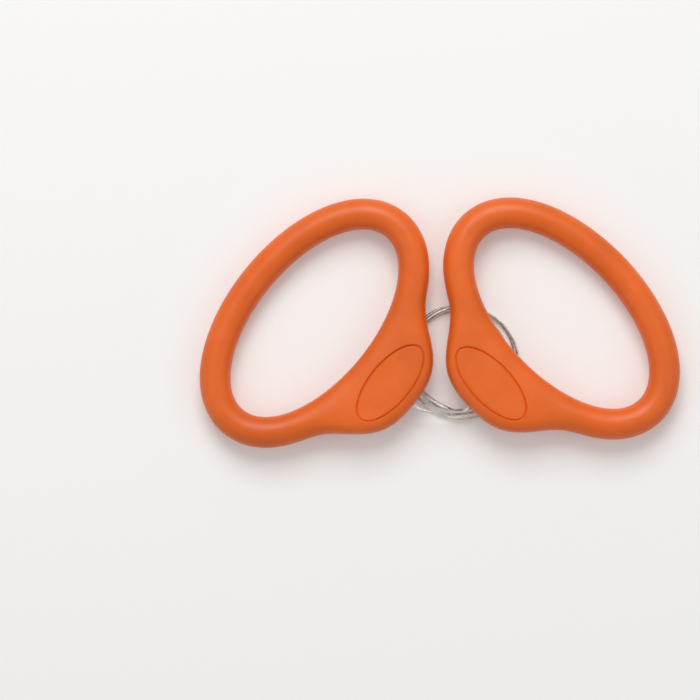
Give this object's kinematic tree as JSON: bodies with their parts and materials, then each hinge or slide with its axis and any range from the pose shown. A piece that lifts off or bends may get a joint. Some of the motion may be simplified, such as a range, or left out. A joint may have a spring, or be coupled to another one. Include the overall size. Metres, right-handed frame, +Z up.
{
  "type": "wire clay cutter",
  "caption": "Clay cutter with two soft looped grips, each an oval finger loop swelling to a flat boss, joined by one thin twisted steel wire coiled for storage.",
  "frame": {"origin": "on the table, under the middle of the box round the two grips", "axes": "+X from the left grip to the right grip, +Y along the table away from the wire mouths, +Z up"},
  "size_m": [0.1428, 0.0744, 0.0125],
  "materials": {
    "grip": "soft-touch satin orange elastomer",
    "wire": "bright twisted stainless strands",
    "sleeve": "plain crimped"
  },
  "bodies": {
    "wire": {"wire_coil": "wire", "left_lead": "wire", "right_lead": "wire"},
    "left_handle": {"left_grip": "grip", "left_crimp_sleeve": "sleeve", "left_wire_end": "wire"},
    "right_handle": {"right_grip": "grip", "right_crimp_sleeve": "sleeve", "right_wire_end": "wire"}
  },
  "joints": [
    {"name": "left_grip_swing", "type": "hinge", "parent": "wire", "child": "left_handle", "pos_m": [-0.00737, -0.0249, 0.00842], "axis": [0, 0, 1], "range_deg": [0, 40]},
    {"name": "right_grip_swing", "type": "hinge", "parent": "wire", "child": "right_handle", "pos_m": [0.00806, -0.02552, 0.00842], "axis": [0, 0, 1], "range_deg": [-40, 0]}
  ]
}
